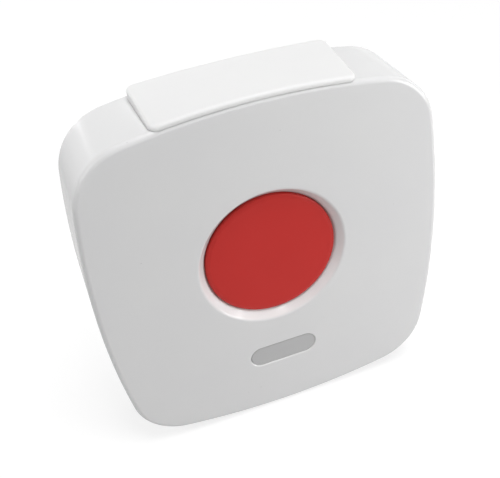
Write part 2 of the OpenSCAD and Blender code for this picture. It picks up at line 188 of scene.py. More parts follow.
def makeEdgeRub():  # convex edges, broken up by noise
    group, given, result = newGroup("edgeRub", {"From": 0.56, "To": 0.66, "Break Scale": 900.0}, ("Rub",))
    edge = addNode(group, "ShaderNodeNewGeometry").outputs["Pointiness"]
    place = addNode(group, "ShaderNodeTexCoord").outputs["Object"]
    broken = spread(group, noise(group, place, given["Break Scale"]), 0.35, 0.65)
    feed(group, result["Rub"], calc(group, "MULTIPLY", spread(group, edge, given["From"], given["To"]), broken))
    return group


def makeSpecks():  # sparse tiny specks on a clean surface
    group, given, result = newGroup("specks", {"Scale": 260.0, "Size": 0.05, "Share": 0.06}, ("Specks",))
    place = addNode(group, "ShaderNodeTexCoord").outputs["Object"]
    cells = addNode(group, "ShaderNodeTexVoronoi", {"Vector": place, "Scale": given["Scale"]})
    chosen = calc(group, "LESS_THAN", addNode(group, "ShaderNodeSeparateColor",
                                              {"Color": cells.outputs["Color"]}).outputs[0], given["Share"])
    inside = spread(group, cells.outputs["Distance"], given["Size"], 0.0)
    feed(group, result["Specks"], calc(group, "MULTIPLY", chosen, inside))
    return group


def makeDust():  # thin film on what looks up
    group, given, result = newGroup("dust", {"Scale": 220.0}, ("Dust",))
    facing = addNode(group, "ShaderNodeSeparateXYZ", {
        "Vector": addNode(group, "ShaderNodeNewGeometry").outputs["Normal"]}).outputs["Z"]
    place = addNode(group, "ShaderNodeTexCoord").outputs["Object"]
    patchy = spread(group, noise(group, place, given["Scale"], 4.0), 0.4, 0.7)
    feed(group, result["Dust"], calc(group, "MULTIPLY", spread(group, facing, 0.5, 1.0), patchy))
    return group


groups = {make.__name__[4:]: make() for make in (makeMouldGrain, makeEdgeRub, makeSpecks, makeDust)}
print("shader groups made:", ", ".join(groups))


# Materials
def newFinish(name):
    material = bpy.data.materials.new(name)
    material.use_nodes = True
    tree = material.node_tree
    return material, tree, tree.nodes["Principled BSDF"]


def useGroup(tree, name, **values):
    node = addNode(tree, "ShaderNodeGroup", node_tree=groups[name])
    for label, value in values.items():
        feed(tree, node.inputs[label.replace("_", " ")], value)
    return node.outputs


def addBump(tree, shader, height, reach, strength):
    bump = addNode(tree, "ShaderNodeBump", {"Height": height, "Distance": reach, "Strength": strength})
    feed(tree, shader.inputs["Normal"], bump.outputs["Normal"])


def varied(tree, value, look):  # roughness that follows a noise
    low, high = (look["roughness"] + sign * look["roughVary"] for sign in (-1, 1))
    return spread(tree, value, *noiseBand, low, high)


def plasticFinish(name, look):
    material, tree, shader = newFinish(name)
    skin = useGroup(tree, "MouldGrain", Grain_Scale=look["grainScale"], Drift_Scale=look["driftScale"])
    rub = useGroup(tree, "EdgeRub")["Rub"]
    specks = useGroup(tree, "Specks", Share=look["speckShare"])["Specks"]
    dust = useGroup(tree, "Dust")["Dust"]
    drift = spread(tree, skin["Drift"], *noiseBand)
    colour = blendColours(tree, drift, look["colour"] + (1,), look["shade"] + (1,))
    colour = blendColours(tree, calc(tree, "MULTIPLY", rub, look["rub"]), colour, look["rubbed"] + (1,))
    colour = blendColours(tree, calc(tree, "MULTIPLY", specks, look["speckCover"]), colour, look["speck"] + (1,))
    feed(tree, shader.inputs["Base Color"], colour)
    film = calc(tree, "MULTIPLY", dust, look["dustRough"])
    feed(tree, shader.inputs["Roughness"], calc(tree, "ADD", varied(tree, skin["Drift"], look), film))
    addBump(tree, shader, skin["Grain"], look["grainDepth"] * mm, 1.0)
    shader.inputs["IOR"].default_value = look["refraction"]
    shader.inputs["Specular IOR Level"].default_value = look["specular"]
    return material


def metalFinish(name, look):
    material, tree, shader = newFinish(name)
    place = addNode(tree, "ShaderNodeTexCoord").outputs["Object"]
    drawn = addNode(tree, "ShaderNodeMapping", {"Vector": place, "Scale": look["brush"]}).outputs["Vector"]
    lines = noise(tree, drawn, 1.0, *look["lines"])
    skin = useGroup(tree, "MouldGrain", Drift_Scale=look["driftScale"])
    drift = spread(tree, skin["Drift"], *noiseBand)
    feed(tree, shader.inputs["Base Color"], blendColours(tree, drift, look["colour"] + (1,), look["shade"] + (1,)))
    feed(tree, shader.inputs["Roughness"], varied(tree, lines, look))
    shader.inputs["Metallic"].default_value = 1.0
    addBump(tree, shader, lines, look["lineDepth"] * mm, look["bump"])
    return material


def boardFinish(name, look):  # solder mask with tracks showing through
    material, tree, shader = newFinish(name)
    place = addNode(tree, "ShaderNodeTexCoord").outputs["Object"]
    tracks = addNode(tree, "ShaderNodeTexBrick", {
        "Vector": addNode(tree, "ShaderNodeMapping", {"Vector": place, "Rotation": (math.pi / 2, 0, 0)}
                          ).outputs["Vector"],
        "Scale": look["trackScale"], "Mortar Size": look["trackWidth"], "Mortar Smooth": look["trackSoft"],
    }).outputs["Fac"]
    skin = useGroup(tree, "MouldGrain", Grain_Scale=look["grainScale"], Drift_Scale=look["driftScale"])
    drift = spread(tree, skin["Drift"], *noiseBand)
    base = blendColours(tree, drift, look["colour"] + (1,), look["shade"] + (1,))
    feed(tree, shader.inputs["Base Color"], blendColours(tree, tracks, base, look["track"] + (1,)))
    feed(tree, shader.inputs["Roughness"], varied(tree, skin["Grain"], look))
    raised = calc(tree, "MULTIPLY", tracks, look["trackHeight"])
    height = calc(tree, "ADD", raised, calc(tree, "MULTIPLY", skin["Grain"], look["grainHeight"]))
    addBump(tree, shader, height, look["depth"] * mm, look["bump"])
    return material


plain = {"grainScale": 2600.0, "driftScale": 45.0, "grainDepth": 0.004, "roughness": 0.4, "roughVary": 0.03,
         "rub": 0.25, "speckShare": 0.0, "speckCover": 0.5, "speck": (0.3, 0.3, 0.3), "dustRough": 0.1,
         "specular": 0.5, "refraction": 1.5}
looks = {
    "housing_white": dict(plain, colour=(0.80, 0.80, 0.80), shade=(0.785, 0.785, 0.79), rubbed=(0.84, 0.84, 0.84),
                          roughness=0.12, grainScale=1400.0, grainDepth=0.0008, speckShare=0.2),
    "bar_white": dict(plain, colour=(0.86, 0.86, 0.855), shade=(0.84, 0.84, 0.84), rubbed=(0.88, 0.88, 0.88),
                      roughness=0.42, grainDepth=0.003),
    "plate_white": dict(plain, colour=(0.74, 0.74, 0.73), shade=(0.7, 0.7, 0.69), rubbed=(0.8, 0.8, 0.8),
                        roughness=0.5, grainScale=1100.0, grainDepth=0.02),
    "cap_red": dict(plain, colour=(0.605, 0.033, 0.028), shade=(0.585, 0.031, 0.026), rubbed=(0.66, 0.075, 0.065),
                    roughness=0.34, grainScale=1900.0, grainDepth=0.003, specular=0.2),
    "badge_grey": dict(plain, colour=(0.54, 0.54, 0.54), shade=(0.52, 0.52, 0.525), rubbed=(0.6, 0.6, 0.6),
                       roughness=0.38, grainScale=2400.0, grainDepth=0.003),
    "dark_plastic": dict(plain, colour=(0.03, 0.03, 0.033), shade=(0.022, 0.022, 0.024), rubbed=(0.1, 0.1, 0.1),
                         roughness=0.45, grainDepth=0.008),
    "cream_plastic": dict(plain, colour=(0.72, 0.68, 0.58), shade=(0.68, 0.63, 0.53), rubbed=(0.8, 0.78, 0.7),
                          roughness=0.4, grainDepth=0.006),
}
finishes = {slot: plasticFinish(slot, look) for slot, look in looks.items()}
metal = {"driftScale": 120.0, "lines": (4.0, 0.6), "lineDepth": 0.004, "bump": 0.6, "roughVary": 0.08}
metals = {
    "spring_steel": dict(metal, colour=(0.56, 0.57, 0.59), shade=(0.5, 0.5, 0.52), roughness=0.3,
                         brush=(900, 900, 9000)),
    "cell_steel": dict(metal, colour=(0.66, 0.66, 0.67), shade=(0.6, 0.6, 0.61), roughness=0.26,
                       brush=(300, 6000, 6000)),
    "contact_brass": dict(metal, colour=(0.75, 0.56, 0.24), shade=(0.66, 0.48, 0.2), roughness=0.3,
                          brush=(400, 5000, 5000)),
}
board = {
    "colour": (0.02, 0.14, 0.07), "shade": (0.015, 0.11, 0.055), "track": (0.05, 0.24, 0.12),
    "trackScale": 420.0, "trackWidth": 0.03, "trackSoft": 0.1, "trackHeight": 2.0,
    "grainScale": 2200.0, "driftScale": 90.0, "grainHeight": 0.3, "depth": 0.03, "bump": 0.7,
    "roughness": 0.34, "roughVary": 0.06,
}
finishes.update({slot: metalFinish(slot, look) for slot, look in metals.items()})
finishes["board_green"] = boardFinish("board_green", board)
print("finishes made:", len(finishes))


# Geometry node helpers
def newTree(name, sizes):
    tree = bpy.data.node_groups.new(name, "GeometryNodeTree")
    tree.interface.new_socket("Path", in_out="INPUT", socket_type="NodeSocketGeometry")
    for label in sizes:
        tree.interface.new_socket(label, in_out="INPUT", socket_type="NodeSocketFloat")
    tree.interface.new_socket("Finish", in_out="INPUT", socket_type="NodeSocketMaterial")
    tree.interface.new_socket("Piece", in_out="OUTPUT", socket_type="NodeSocketGeometry")
    return tree, tree.nodes.new("NodeGroupInput").outputs, tree.nodes.new("NodeGroupOutput").inputs


def pick(tree, kind, values):  # one value for each point of a curve, by its index
    node = addNode(tree, "GeometryNodeIndexSwitch", data_type=kind)
    while len(node.index_switch_items) < len(values):
        node.index_switch_items.new()
    feed(tree, node.inputs[0], addNode(tree, "GeometryNodeInputIndex").outputs[0])
    for number, value in enumerate(values):
        feed(tree, node.inputs[number + 1], value)
    return node.outputs[0]


def profile(tree, corners, steps):  # corners are (out, up, rounding)
    points = [addNode(tree, "ShaderNodeCombineXYZ", {"X": out, "Y": calc(tree, "MULTIPLY", up, -1.0)}).outputs[0]
              for out, up, _ in corners]
    line = addNode(tree, "GeometryNodeResampleCurve", {
        "Curve": addNode(tree, "GeometryNodeCurvePrimitiveLine").outputs[0], "Count": len(corners)})
    bent = addNode(tree, "GeometryNodeSetPosition", {
        "Geometry": line.outputs[0], "Position": pick(tree, "VECTOR", points)})
    return addNode(tree, "GeometryNodeFilletCurve", {
        "Curve": bent.outputs[0], "Radius": pick(tree, "FLOAT", [corner[2] for corner in corners]),
        "Count": steps, "Limit Radius": True}, mode="POLY").outputs[0]


def sweep(tree, path, corners, steps=6):
    return addNode(tree, "GeometryNodeCurveToMesh", {
        "Curve": path, "Profile Curve": profile(tree, corners, steps)}).outputs[0]


def join(tree, *parts):
    node = addNode(tree, "GeometryNodeJoinGeometry")
    for part in parts:
        tree.links.new(part, node.inputs[0])
    return node.outputs[0]


def weld(tree, mesh):
    return addNode(tree, "GeometryNodeMergeByDistance", {
        "Geometry": mesh, "Distance": tolerance["weld"] * mm}).outputs[0]


def shift(tree, mesh, x=0.0, y=0.0, z=0.0, turn=(0, 0, 0)):
    place = addNode(tree, "ShaderNodeCombineXYZ", {"X": x, "Y": y, "Z": z}).outputs[0]
    return addNode(tree, "GeometryNodeTransform", {
        "Geometry": mesh, "Translation": place, "Rotation": turn}).outputs[0]


def closeAt(tree, mesh, level, lookUp):  # flat face over the open edges at one height
    height = addNode(tree, "ShaderNodeSeparateXYZ", {
        "Vector": addNode(tree, "GeometryNodeInputPosition").outputs[0]}).outputs["Z"]
    there = calc(tree, "LESS_THAN", calc(tree, "ABSOLUTE", calc(tree, "SUBTRACT", height, level)),
                 tolerance["level"] * mm)
    alone = calc(tree, "LESS_THAN", addNode(tree, "GeometryNodeInputMeshEdgeNeighbors").outputs[0], 1.5)
    loops = addNode(tree, "GeometryNodeMeshToCurve", {
        "Mesh": mesh, "Selection": calc(tree, "MULTIPLY", there, alone)}).outputs[0]
    flat = shift(tree, addNode(tree, "GeometryNodeFillCurve", {"Curve": loops}).outputs[0], z=level)
    if lookUp:
        return flat
    return addNode(tree, "GeometryNodeFlipFaces", {"Mesh": flat}).outputs[0]


def block(tree, x, y, z):
    return addNode(tree, "GeometryNodeMeshCube", {
        "Size": addNode(tree, "ShaderNodeCombineXYZ", {"X": x, "Y": y, "Z": z}).outputs[0]}).outputs[0]


def combine(tree, operation, first, *others):  # closed solids, joined or cut
    node = addNode(tree, "GeometryNodeMeshBoolean", operation=operation, solver="MANIFOLD")
    if operation == "DIFFERENCE":
        feed(tree, node.inputs["Mesh 1"], first)
    else:
        others = (first,) + others
    for other in others:
        tree.links.new(other, node.inputs["Mesh 2"])
    return node.outputs[0]


def ending(tree, mesh, finish, result):  # stands the lying piece up and gives it its finish
    upright = shift(tree, mesh, turn=(math.pi / 2, 0, 0))
    smooth = addNode(tree, "GeometryNodeSetShadeSmooth", {"Geometry": upright}).outputs[0]
    real = addNode(tree, "GeometryNodeRealizeInstances", {"Geometry": smooth}).outputs[0]
    feed(tree, result["Piece"], addNode(tree, "GeometryNodeSetMaterial", {
        "Geometry": real, "Material": finish}).outputs[0])


def asMesh(source, name):
    mesh = bpy.data.meshes.new_from_object(source.evaluated_get(bpy.context.evaluated_depsgraph_get()))
    bpy.data.batch_remove([source, source.data])
    mesh.name = name
    piece = bpy.data.objects.new(name, mesh)
    scene.collection.objects.link(piece)
    return piece


def runTree(source, tree, sizes, material, name):
    modifier = source.modifiers.new(tree.name, "NODES")
    modifier.node_group = tree
    values = dict(sizes, Finish=material)
    for item in tree.interface.items_tree:
        if item.in_out == "INPUT" and item.name in values:
            modifier[item.identifier] = values[item.name]
    return asMesh(source, name)


def evenNormals(piece, slot):  # flat faces stay flat beside their rounded edges
    piece.data.materials.clear()
    piece.data.materials.append(finishes[slot])
    piece.data.set_sharp_from_angle(angle=sharpAngle)
    weighted = piece.modifiers.new("weighted", "WEIGHTED_NORMAL")
    weighted.keep_sharp = True
    weighted.weight = 100
    return asMesh(piece, piece.name)


def closedCurve(name, points):
    data = bpy.data.curves.new(name, "CURVE")
    data.dimensions = "3D"
    spline = data.splines.new("POLY")
    spline.points.add(len(points) - 1)
    for point, (x, y) in zip(spline.points, points):
        point.co = (x, y, 0, 1)
    spline.use_cyclic_u = True
    curve = bpy.data.objects.new(name, data)
    scene.collection.objects.link(curve)
    return curve


def noOutline(name):  # start for a tree that draws all its own curves
    return closedCurve(name, [(0, 0), (mm, 0), (0, mm)])


def stand(x, y, z):  # from lying on the wall to upright
    return Vector((x, -z, y))


def bridge(mesh, rings):  # walls between rings of points
    for lower, upper in zip(rings, rings[1:]):
        for spot in range(len(lower)):
            after = (spot + 1) % len(lower)
            mesh.faces.new((lower[spot], lower[after], upper[after], upper[spot]))


def finishedMesh(mesh, name):
    bmesh.ops.recalc_face_normals(mesh, faces=mesh.faces)
    data = bpy.data.meshes.new(name)
    mesh.to_mesh(data)
    mesh.free()
    piece = bpy.data.objects.new(name, data)
    scene.collection.objects.link(piece)
    return piece


# Housing: bulging square outline, swept with the wall's profile
housing = {
    "sideRadius": 200, "endRadius": 175, "cornerRadius": 14.5, "arcSteps": 28,   # mm, outline
    "draft": 0.2, "edgeRadius": 1.2, "sideWall": 2, "frontWall": 2.2,
    "dishRadius": 18.15, "dishDepth": 2.5, "lipRadius": 1,
    "capGap": 0.05, "capRadius": 16.1, "boreRound": 0.04, "sleeveWall": 2, "sleeveRear": 10.5,
    "badgeLength": 17.8, "badgeWidth": 6, "badgePocket": 0.6, "badgeLip": 0.35,
    "legSlot": (3.4, 8, 8.6), "slotSpacing": 27.2, "pusherHole": 2.1, "pusherDepth": 9.5,
    "ribLength": 12, "ribWidth": 1.2, "ribHeight": 3.5,
    "groove": (1.5, 12.2, 1.2), "grooveSpacing": 81.3, "grooveDepth": 4.4,
    "flatMargin": 1.2, "smallRound": 0.2, "innerRound": 1, "innerMargin": 2,
    "pocketRound": 0.1, "pocketMargins": (0.8, 0.7), "ribPlaces": 8, "ribOverlap": 0.15,   # overlap as a share
    "roundSteps": 10, "boreSides": 192, "pillSides": 98, "holeSides": 64,
}


def housingOutline():
    endCentre = coverHigh.z - housing["endRadius"] * mm
    sideCentre = coverHigh.x - housing["sideRadius"] * mm
    cornerRadius = housing["cornerRadius"] * mm
    sideReach = housing["sideRadius"] * mm - cornerRadius
    endReach = housing["endRadius"] * mm - cornerRadius
    gap = math.hypot(sideCentre, endCentre)
    along = (sideReach ** 2 - endReach ** 2 + gap ** 2) / (2 * gap)
    across = math.sqrt(sideReach ** 2 - along ** 2)
    unit = Vector((-sideCentre, endCentre)) / gap
    corner = Vector((sideCentre, 0)) + along * unit + across * Vector((-unit.y, unit.x))
    first = math.atan2(corner.y, corner.x - sideCentre)
    last = math.atan2(corner.y - endCentre, corner.x)
    half = math.pi
    arcs = []
    for turn in (0, half):  # the outline is the same turned by half a turn
        sign = 1 if turn == 0 else -1
        arcs.append((Vector((sign * sideCentre, 0)), sideReach + cornerRadius, turn - first, turn + first))
        arcs.append((sign * corner, cornerRadius, turn + first, turn + last))
        arcs.append((Vector((0, sign * endCentre)), endReach + cornerRadius, turn + last, turn + half - last))
        arcs.append((sign * Vector((-corner.x, corner.y)), cornerRadius, turn + half - last, turn + half - first))
    steps = housing["arcSteps"]
    points = []
    for centre, radius, start, end in arcs:
        for step in range(steps):
            angle = start + (end - start) * step / steps
            points.append(centre + radius * Vector((math.cos(angle), math.sin(angle))))
    return points


def housingRibs(tree, given, inner):  # six ribs round the sleeve, none straight up or down
    count = housing["ribPlaces"]
    index = addNode(tree, "GeometryNodeInputIndex").outputs[0]
    overlap = calc(tree, "MULTIPLY", given["Front Wall"], housing["ribOverlap"])   # stays behind the dish
    height = calc(tree, "ADD", given["Rib Height"], overlap)
    start = calc(tree, "SUBTRACT", calc(tree, "ADD", given["Bore Radius"], given["Sleeve Wall"]),
                 calc(tree, "MULTIPLY", given["Rib Width"], 0.5))
    circle = addNode(tree, "GeometryNodeCurvePrimitiveCircle", {
        "Resolution": count,
        "Radius": calc(tree, "ADD", start, calc(tree, "MULTIPLY", given["Rib Length"], 0.5))}).outputs[0]
    level = calc(tree, "ADD", calc(tree, "SUBTRACT", inner, given["Rib Height"]),
                 calc(tree, "MULTIPLY", height, 0.5))
    placed = addNode(tree, "GeometryNodeInstanceOnPoints", {
        "Points": circle,
        "Selection": calc(tree, "GREATER_THAN", calc(tree, "ABSOLUTE", calc(
            tree, "SUBTRACT", calc(tree, "MODULO", index, count / 2), count / 4)), 0.5),
        "Instance": block(tree, given["Rib Length"], given["Rib Width"], height),
        "Rotation": addNode(tree, "ShaderNodeCombineXYZ", {
            "Z": calc(tree, "MULTIPLY", index, 2 * math.pi / count)}).outputs[0]}).outputs[0]
    ribs = addNode(tree, "GeometryNodeRealizeInstances", {"Geometry": placed}).outputs[0]
    return shift(tree, ribs, y=given["Button Height"], z=level)


def housingOpenings(tree):  # slots for the bar's legs, hole for its pusher, grooves for the snap beads
    barMiddle = -(barLow.y + barHigh.y) / 2
    openings = []
    for side in (1, -1):
        slot = block(tree, *(size * mm for size in housing["legSlot"]))
        openings.append(shift(tree, slot, side * housing["slotSpacing"] / 2 * mm, coverHigh.z, barMiddle))
        groove = block(tree, *(size * mm for size in housing["groove"]))
        openings.append(shift(tree, groove, side * housing["grooveSpacing"] / 2 * mm, 0.0,
                              housing["grooveDepth"] * mm))
    hole = addNode(tree, "GeometryNodeMeshCylinder", {
        "Vertices": housing["holeSides"], "Radius": housing["pusherHole"] * mm,
        "Depth": housing["legSlot"][1] * mm}).outputs[0]
    openings.append(shift(tree, hole, y=coverHigh.z, z=housing["pusherDepth"] * mm, turn=(math.pi / 2, 0, 0)))
    return openings


def makeHousing():
    sizes = {
        "Depth": depth, "Rim Gap": rimGap, "Button Height": buttonHeight, "Badge Height": badgeHeight,
        "Draft": housing["draft"] * mm, "Edge Radius": housing["edgeRadius"] * mm,
        "Side Wall": housing["sideWall"] * mm, "Front Wall": housing["frontWall"] * mm,
        "Dish Radius": housing["dishRadius"] * mm, "Dish Depth": housing["dishDepth"] * mm,
        "Lip Radius": housing["lipRadius"] * mm, "Bore Radius": (housing["capRadius"] + housing["capGap"]) * mm,
        "Sleeve Wall": housing["sleeveWall"] * mm, "Sleeve Rear": housing["sleeveRear"] * mm,
        "Badge Length": housing["badgeLength"] * mm, "Badge Width": housing["badgeWidth"] * mm,
        "Badge Pocket": housing["badgePocket"] * mm, "Badge Lip": housing["badgeLip"] * mm,
        "Rib Length": housing["ribLength"] * mm, "Rib Width": housing["ribWidth"] * mm,
        "Rib Height": housing["ribHeight"] * mm,
    }
    tree, given, result = newTree("mouldedHousing", sizes)
    margin = housing["flatMargin"] * mm   # keeps the roundings apart from the large faces
    small = housing["smallRound"] * mm
    front = given["Depth"]
    inner = calc(tree, "SUBTRACT", front, given["Front Wall"])
    lean = calc(tree, "MULTIPLY", given["Draft"], -1.0)
    wall = calc(tree, "MULTIPLY", given["Side Wall"], -1.0)
    innerWall = calc(tree, "ADD", wall, lean)
    frontRing = calc(tree, "SUBTRACT", calc(tree, "SUBTRACT", lean, given["Edge Radius"]), margin)
    shell = sweep(tree, given["Path"], [
        (frontRing, front, 0.0),
        (lean, front, given["Edge Radius"]),
        (0.0, given["Rim Gap"], small),
        (wall, given["Rim Gap"], small),
        (innerWall, inner, housing["innerRound"] * mm),
        (calc(tree, "SUBTRACT", innerWall, housing["innerMargin"] * mm), inner, 0.0),
    ], housing["roundSteps"])
    bore = given["Bore Radius"]
    circle = addNode(tree, "GeometryNodeCurvePrimitiveCircle", {
        "Resolution": housing["boreSides"], "Radius": bore}).outputs[0]
    sleeve = given["Sleeve Wall"]
    dishOut = calc(tree, "SUBTRACT", given["Dish Radius"], bore)
    dish = sweep(tree, circle, [
        (calc(tree, "ADD", sleeve, margin), inner, 0.0),
        (sleeve, inner, 0.0),
        (sleeve, given["Sleeve Rear"], small),
        (0.0, given["Sleeve Rear"], small),
        (0.0, calc(tree, "SUBTRACT", front, given["Dish Depth"]), housing["boreRound"] * mm),
        (dishOut, front, given["Lip Radius"]),
        (calc(tree, "ADD", dishOut, margin), front, 0.0),
    ])
    halves = addNode(tree, "GeometryNodeCurvePrimitiveCircle", {
        "Resolution": housing["pillSides"],
        "Radius": calc(tree, "MULTIPLY", given["Badge Width"], 0.5)}).outputs[0]
    across = addNode(tree, "ShaderNodeSeparateXYZ", {
        "Vector": addNode(tree, "GeometryNodeInputPosition").outputs[0]}).outputs["X"]
    straight = calc(tree, "MULTIPLY", calc(tree, "SUBTRACT", given["Badge Length"], given["Badge Width"]), 0.5)
    pill = addNode(tree, "GeometryNodeSetPosition", {
        "Geometry": halves, "Offset": addNode(tree, "ShaderNodeCombineXYZ", {
            "X": calc(tree, "MULTIPLY", calc(tree, "SIGN", across), straight)}).outputs[0]}).outputs[0]
    floor = calc(tree, "SUBTRACT", front, given["Badge Pocket"])
    inside, outside = (width * mm for width in housing["pocketMargins"])
    pocket = sweep(tree, pill, [
        (-inside, floor, 0.0),
        (0.0, floor, housing["pocketRound"] * mm),
        (0.0, front, given["Badge Lip"]),
        (outside, front, 0.0),
    ])
    walls = join(tree, shell, shift(tree, dish, y=given["Button Height"]),
                 shift(tree, pocket, y=given["Badge Height"]))
    walls = weld(tree, walls)
    whole = weld(tree, join(tree, walls, closeAt(tree, walls, front, True), closeAt(tree, walls, floor, True),
                            closeAt(tree, walls, inner, False)))
    whole = combine(tree, "UNION", whole, housingRibs(tree, given, inner))
    whole = combine(tree, "DIFFERENCE", whole, *housingOpenings(tree))
    ending(tree, whole, given["Finish"], result)
    piece = runTree(closedCurve("housingOutline", housingOutline()), tree, sizes, finishes["housing_white"],
                    "housingShell")
    return evenNormals(piece, "housing_white")


housingShell = makeHousing()
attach(housingShell, "housing")
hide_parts("front_cover")
print("housing made,", len(housingShell.data.polygons), "faces")


# Push cap: turned profile
cap = {
    "radius": 16.1, "slope": (1, 0.2), "slopeRound": 1.2, "rimRound": 0.35, "thickness": 1.8,
    "skirt": 1.6, "flange": 1, "stopGap": 0.05, "stem": 3.5, "ring": (10.1, 11.1, 0.8),
    "middle": 4, "faceMargin": 1, "smallRound": 0.12, "roundSteps": 8, "sides": 192,
}


def stemEnd():  # the stem meets the plunger of the switch
    return -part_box("switch_plunger")[0].y + cap["stopGap"] * mm


def makeCap():
    face = -capLow.y
    flangeRear = -capHigh.y
    sizes = {"Face": face, "Radius": cap["radius"] * mm, "Rim Round": cap["rimRound"] * mm,
             "Slope": cap["slope"][0] * mm, "Drop": cap["slope"][1] * mm, "Slope Round": cap["slopeRound"] * mm,
             "Thickness": cap["thickness"] * mm, "Skirt": cap["skirt"] * mm,
             "Flange Rear": flangeRear, "Flange Radius": capHigh.x, "Flange": cap["flange"] * mm}
    tree, given, result = newTree("turnedCap", sizes)
    radius = given["Radius"]
    circle = addNode(tree, "GeometryNodeCurvePrimitiveCircle", {
        "Resolution": cap["sides"], "Radius": radius}).outputs[0]
    axis = calc(tree, "MULTIPLY", radius, -1.0)
    under = calc(tree, "SUBTRACT", given["Face"], given["Thickness"])
    flangeFront = calc(tree, "ADD", given["Flange Rear"], given["Flange"])
    flangeOut = calc(tree, "SUBTRACT", given["Flange Radius"], radius)
    skirtIn = calc(tree, "MULTIPLY", given["Skirt"], -1.0)
    slopeIn = calc(tree, "MULTIPLY", given["Slope"], -1.0)
    faceRing = calc(tree, "SUBTRACT", slopeIn, cap["faceMargin"] * mm)
    tiny = cap["smallRound"] * mm
    ringIn, ringOut, ringHeight = (size * mm for size in cap["ring"])
    ringUnder = calc(tree, "SUBTRACT", under, ringHeight)

    def fromAxis(distance):
        return calc(tree, "ADD", axis, distance)

    turned = sweep(tree, circle, [
        (axis, given["Face"], 0.0),
        (fromAxis(cap["middle"] * mm), given["Face"], 0.0),
        (faceRing, given["Face"], 0.0),
        (slopeIn, given["Face"], given["Slope Round"]),
        (0.0, calc(tree, "SUBTRACT", given["Face"], given["Drop"]), given["Rim Round"]),
        (0.0, flangeFront, tiny),
        (flangeOut, flangeFront, tiny),
        (flangeOut, given["Flange Rear"], tiny),
        (skirtIn, given["Flange Rear"], tiny),
        (skirtIn, under, tiny),
        (fromAxis(ringOut), under, tiny),
        (fromAxis(ringOut), ringUnder, tiny),
        (fromAxis(ringIn), ringUnder, tiny),
        (fromAxis(ringIn), under, tiny),
        (fromAxis(cap["stem"] * mm), under, tiny),
        (fromAxis(cap["stem"] * mm), stemEnd(), tiny),
        (axis, stemEnd(), 0.0),
    ], cap["roundSteps"])
    ending(tree, shift(tree, weld(tree, turned), y=buttonHeight), given["Finish"], result)
    piece = runTree(noOutline("capAxis"), tree, sizes, finishes["cap_red"], "pushCap")
    return evenNormals(piece, "cap_red")


pushCap = makeCap()
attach(pushCap, "push_cap")
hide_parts("panic_button")
print("cap made,", len(pushCap.data.polygons), "faces")


# Top bar: bowed like the top side, one gap off the housing
bar = {
    "length": 45.6, "taper": 0.7, "proud": 1.8, "slope": 1.1, "bowRadius": 330,   # mm
    "cornerRadius": 1.8, "rearRound": 0.45, "frontRound": 0.75, "lowRound": 0.04, "gap": 0.2,
    "roundSteps": 8, "cornerSteps": 12, "bowSteps": 40, "rows": 14, "rowCrowding": 1.6,
    "legs": {"spacing": 28, "thick": 2, "width": 8, "catchOut": 0.8, "catchHeight": 1.2, "catchTop": 41.276,
             "bowDrop": 0.56},
    "pusher": 1.8, "pusherDepth": 9.5, "pusherSides": 48, "rootDepth": 0.3,
}


def topAt(x, inset):  # height of the housing's top side, moved inwards by inset
    endRadius = housing["endRadius"] * mm
    return coverHigh.z - endRadius + math.sqrt((endRadius - inset) ** 2 - x ** 2)


def barUnder(x, z):
    gap = bar["gap"] * mm
    edge = housing["edgeRadius"] * mm
    draft = housing["draft"] * mm
    shoulder = depth - edge
    if z < shoulder:
        inset = draft * (z - rimGap) / (shoulder - rimGap) - gap
    else:
        around = edge + gap
        inset = draft + edge - math.sqrt(around ** 2 - (z - shoulder) ** 2)
    return topAt(x, inset)


def barEdge(inset):  # front half of the plan, right to left
    corner = bar["cornerRadius"] * mm
    halfX = bar["length"] / 2 * mm - corner
    halfZ = (barHigh.y - barLow.y) / 2 - corner
    reach = corner - inset
    steps = bar["cornerSteps"]
    turns = [(halfX, math.pi / 2 * step / steps) for step in range(steps + 1)]
    bow = bar["bowSteps"]
    turns += [(halfX * (1 - 2 * step / bow), math.pi / 2) for step in range(1, bow)]
    turns += [(-halfX, math.pi / 2 * (1 + step / steps)) for step in range(steps + 1)]
    return [(x + reach * math.cos(angle), halfZ + reach * math.sin(angle)) for x, angle in turns]


def towardsFront(z):  # 0 at the bar's rear, 1 at its front
    return (z + barHigh.y) / (barHigh.y - barLow.y)


def barTop(x, z):  # the top falls to the front and bows more there
    share = towardsFront(z)
    bow = (bar["bowRadius"] + (housing["endRadius"] - bar["bowRadius"]) * share) * mm
    crest = coverHigh.z + (bar["proud"] - bar["slope"] * share) * mm
    return crest - bow + math.sqrt(bow ** 2 - x ** 2)


def barRound(z):  # rounding of the upper edge, larger at the front
    return (bar["rearRound"] + (bar["frontRound"] - bar["rearRound"]) * towardsFront(z)) * mm


